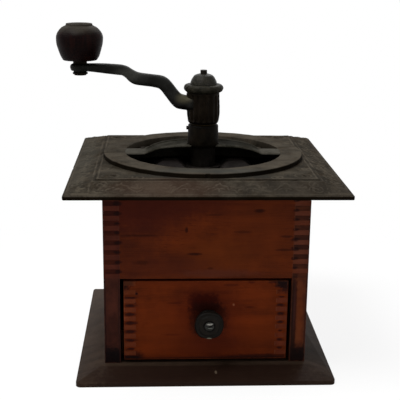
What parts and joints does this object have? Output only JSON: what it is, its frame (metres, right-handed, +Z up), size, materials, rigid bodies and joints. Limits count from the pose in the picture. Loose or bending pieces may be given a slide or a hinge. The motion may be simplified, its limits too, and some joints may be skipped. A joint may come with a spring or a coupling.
{
  "type": "manual coffee grinder",
  "caption": "Box coffee grinder: finger-jointed wooden case with a drawer, ornamented iron top plate with a half-covered sunken hopper, gooseneck crank with a turned knob.",
  "frame": {"origin": "middle of the base board's underside, on the surface that the grinder stands on", "axes": "+Z up along the crank shaft, -Y out of the drawer side, crank at rest towards -X"},
  "size_m": [0.1991, 0.1882, 0.237],
  "materials": {
    "case_wood": "worn red-brown stain, satin",
    "drawer_wood": "worn orange-brown stain, satin",
    "base_wood": "dark dull stain",
    "inner_wood": "bare, coffee-stained",
    "knob_wood": "black-brown polish, worn",
    "plate_iron": "brown-grey patina, relief worn bright",
    "mill_iron": "dark raw casting",
    "crank_iron": "dark smooth patina",
    "pull_iron": "black lacquer, rubbed",
    "shaft_steel": "dull, turned",
    "screw_steel": "dull, browned",
    "washer_brass": "tarnished"
  },
  "bodies": {
    "case": {"base_board": "base_wood", "left_side": "case_wood", "right_side": "case_wood", "front_panel": "case_wood", "back_panel": "case_wood", "left_runner": "inner_wood", "right_runner": "inner_wood", "top_plate": "plate_iron", "plate_screws": "screw_steel", "base_screws": "screw_steel", "hopper_bowl": "mill_iron", "bowl_screws": "screw_steel", "rear_cover": "plate_iron", "cover_screws": "screw_steel", "bearing_bridge": "mill_iron", "bridge_screws": "screw_steel", "outer_burr": "mill_iron", "burr_screws": "screw_steel", "bottom_bearing": "mill_iron", "bearing_screws": "screw_steel"},
    "thrust_carrier": {"thrust_washer": "washer_brass"},
    "collar": {"adjusting_collar": "crank_iron", "collar_pin": "screw_steel"},
    "crank": {"crank_arm": "crank_iron", "crank_shaft": "shaft_steel", "inner_burr": "mill_iron", "burr_pin": "shaft_steel", "cap_ring": "crank_iron", "dome_nut": "crank_iron", "knob_pin": "shaft_steel", "knob_washer": "crank_iron", "knob_ferrule": "crank_iron"},
    "knob": {"crank_knob": "knob_wood"},
    "drawer": {"drawer_front": "drawer_wood", "drawer_left": "drawer_wood", "drawer_right": "drawer_wood", "drawer_back": "inner_wood", "drawer_floor": "inner_wood", "drawer_pull": "pull_iron", "pull_screw": "screw_steel", "pull_nut": "screw_steel"}
  },
  "joints": [
    {"name": "adjust_lift", "type": "slide", "parent": "case", "child": "thrust_carrier", "axis": [0, 0, 1], "range_m": [0, 0.00112]},
    {"name": "adjust_turn", "type": "hinge", "parent": "thrust_carrier", "child": "collar", "pos_m": [0, 0, 0.157], "axis": [0, 0, 1], "range_deg": [0, 270]},
    {"name": "crank_turn", "type": "hinge", "parent": "thrust_carrier", "child": "crank", "pos_m": [0, 0, 0.1665], "axis": [0, 0, 1], "continuous": true},
    {"name": "knob_spin", "type": "hinge", "parent": "crank", "child": "knob", "pos_m": [-0.0884, 0, 0.2112], "axis": [0, 0, 1], "continuous": true},
    {"name": "drawer_slide", "type": "slide", "parent": "case", "child": "drawer", "axis": [0, -1, 0], "range_m": [0, 0.105]}
  ],
  "couplings": [
    {"joint": "adjust_turn", "follows": "adjust_lift", "rad_per_m": 4188.8}
  ]
}
